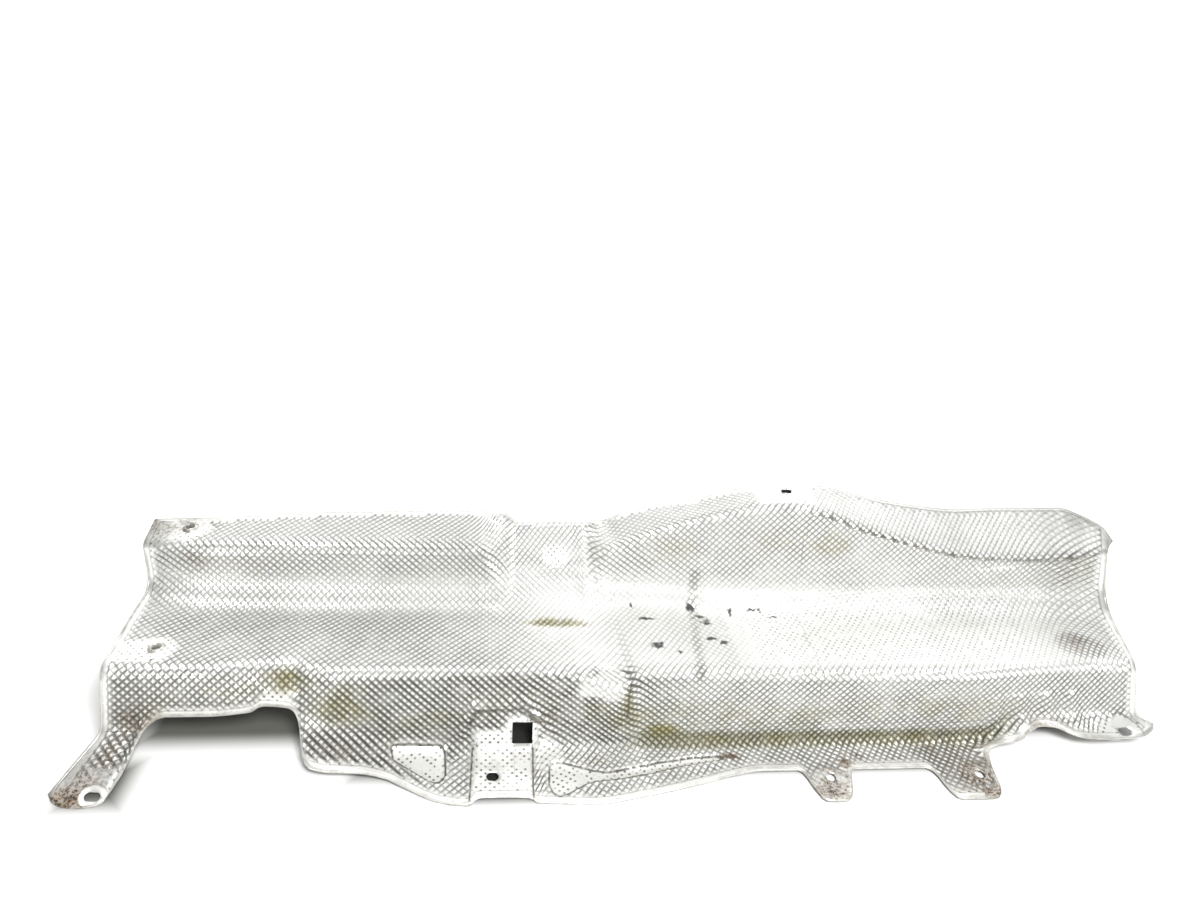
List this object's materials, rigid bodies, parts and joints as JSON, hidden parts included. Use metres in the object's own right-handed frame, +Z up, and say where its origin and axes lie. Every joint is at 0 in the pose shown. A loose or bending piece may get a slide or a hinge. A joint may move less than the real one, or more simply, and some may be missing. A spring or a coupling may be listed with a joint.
{
  "type": "heat shield",
  "caption": "Long pressed and embossed aluminium heat shield with a stepped trough, back flange and bolted front tabs.",
  "frame": {"origin": "centre of the bounding box in plan, at the level of the lowest front edge", "axes": "+X along the length, toward the end with the high back wall; +Y from the tabbed front edge to the back flange; +Z up, as the sheet stands in the picture"},
  "size_m": [1.1596, 0.2846, 0.23],
  "materials": {
    "sheet": "embossed bright aluminium with dirt and rust stains"
  },
  "bodies": {
    "root": {"heat_shield": "sheet"}
  },
  "joints": []
}
